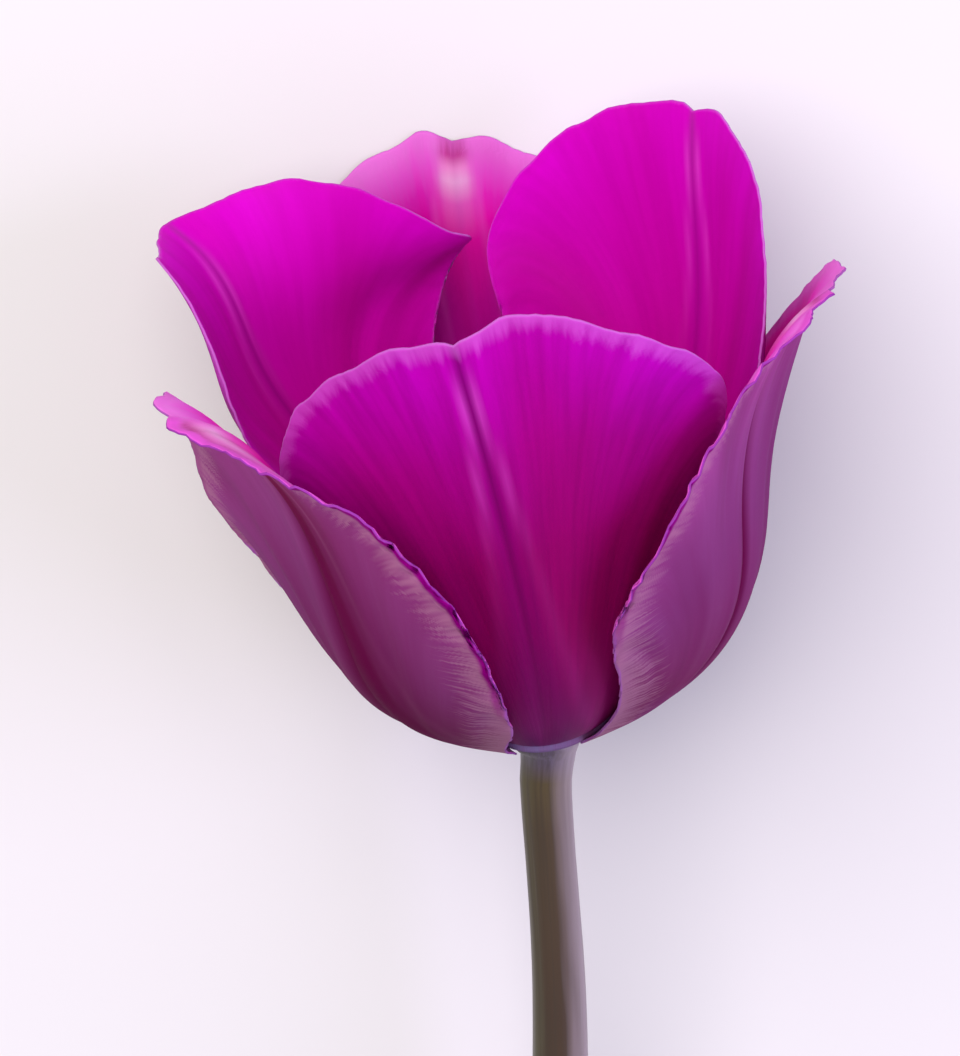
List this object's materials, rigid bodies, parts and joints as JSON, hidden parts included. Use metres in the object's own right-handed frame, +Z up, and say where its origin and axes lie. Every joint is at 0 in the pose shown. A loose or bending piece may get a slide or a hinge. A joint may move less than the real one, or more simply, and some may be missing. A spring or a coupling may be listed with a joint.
{
  "type": "cut tulip flower",
  "caption": "Cut purple tulip lying on its side, its cup of overlapping rounded petals half open, with stamens and pistil inside, on a bare round stem.",
  "frame": {"origin": "centre of the bounding box's bottom face, on the surface that the flower lies on", "axes": "+X along the stem towards the open flower, +Y to the flower's left seen from above with the flower pointing away, +Z up"},
  "size_m": [0.2542, 0.0784, 0.0848],
  "materials": {
    "stem": "smooth living stem with a thin waxy bloom, dull purplish brown turning green towards the cut",
    "outer_petal": "satin petal, dusty mauve bloom and fine lengthwise veins outside, magenta inside, lilac margin",
    "inner_petal": "satin petal, deep magenta with fine fanned veins, paler lilac margin and a dark groove along the middle",
    "filament": "smooth matt stalk, dark violet",
    "anther": "powdery pollen sac, purple black",
    "pistil": "smooth waxy ovary, pale green, with a cream stigma of three lobes"
  },
  "bodies": {
    "root": {"stem": "stem", "outer_petal_left": "outer_petal", "outer_petal_right": "outer_petal", "outer_petal_back": "outer_petal", "inner_petal_front": "inner_petal", "inner_petal_left": "inner_petal", "inner_petal_right": "inner_petal", "filament_1": "filament", "filament_2": "filament", "filament_3": "filament", "filament_4": "filament", "filament_5": "filament", "filament_6": "filament", "anther_1": "anther", "anther_2": "anther", "anther_3": "anther", "anther_4": "anther", "anther_5": "anther", "anther_6": "anther", "pistil": "pistil"}
  },
  "joints": []
}
